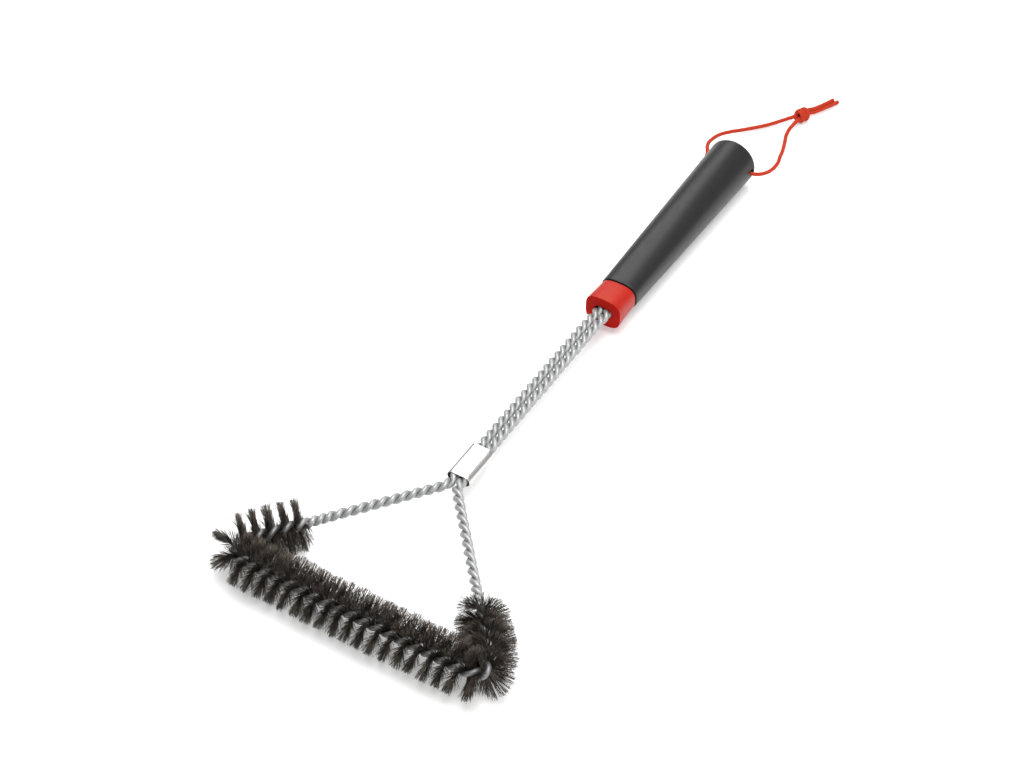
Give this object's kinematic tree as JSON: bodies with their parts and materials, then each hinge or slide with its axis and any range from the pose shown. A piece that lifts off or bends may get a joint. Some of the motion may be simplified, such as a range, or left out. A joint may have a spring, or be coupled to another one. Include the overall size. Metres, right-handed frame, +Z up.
{
  "type": "grill cleaning brush",
  "caption": "Grill cleaning brush: two steel wires twisted round a band of bristles and bent into a triangular head, on a long moulded handle with a red collar and a hanging cord.",
  "frame": {"origin": "on the surface the brush lies on, under the middle of the brush measured from the bristles' front to the handle's tail, without the hanging cord", "axes": "+Y along the brush from the head to the handle's tail, +Z up from the surface it lies on, +X to the right seen from above with the tail away from the viewer"},
  "size_m": [0.1948, 0.5672, 0.0324],
  "materials": {
    "galvanised_wire": "satin galvanised wire",
    "polished_steel": "bright pressed steel",
    "bristle_steel": "dark oxidised spring wire",
    "red_plastic": "satin moulded plastic",
    "black_plastic": "fine-grained moulded plastic",
    "cord_braid": "fine braided cord"
  },
  "bodies": {
    "brush": {"shaft_wire_left_a": "galvanised_wire", "shaft_wire_left_b": "galvanised_wire", "shaft_wire_right_a": "galvanised_wire", "shaft_wire_right_b": "galvanised_wire", "arm_wire_left_a": "galvanised_wire", "arm_wire_left_b": "galvanised_wire", "arm_wire_right_a": "galvanised_wire", "arm_wire_right_b": "galvanised_wire", "bar_wire_a": "galvanised_wire", "bar_wire_b": "galvanised_wire", "bristles_left_arm": "bristle_steel", "bristles_left_corner": "bristle_steel", "bristles_front_bar": "bristle_steel", "bristles_right_corner": "bristle_steel", "bristles_right_arm": "bristle_steel", "ferrule": "polished_steel", "wire_end_sleeve": "polished_steel", "collar": "red_plastic", "handle_sleeve": "black_plastic"},
    "hang_loop": {"hang_cord_left": "cord_braid", "hang_cord_right": "cord_braid", "hang_cord_knot": "cord_braid", "hang_cord_tail_left": "cord_braid", "hang_cord_tail_right": "cord_braid"}
  },
  "joints": [
    {"name": "hang_loop_swing", "type": "hinge", "parent": "brush", "child": "hang_loop", "pos_m": [0, 0.225, 0.0162], "axis": [1, 0, 0], "range_deg": [0, 160]}
  ]
}
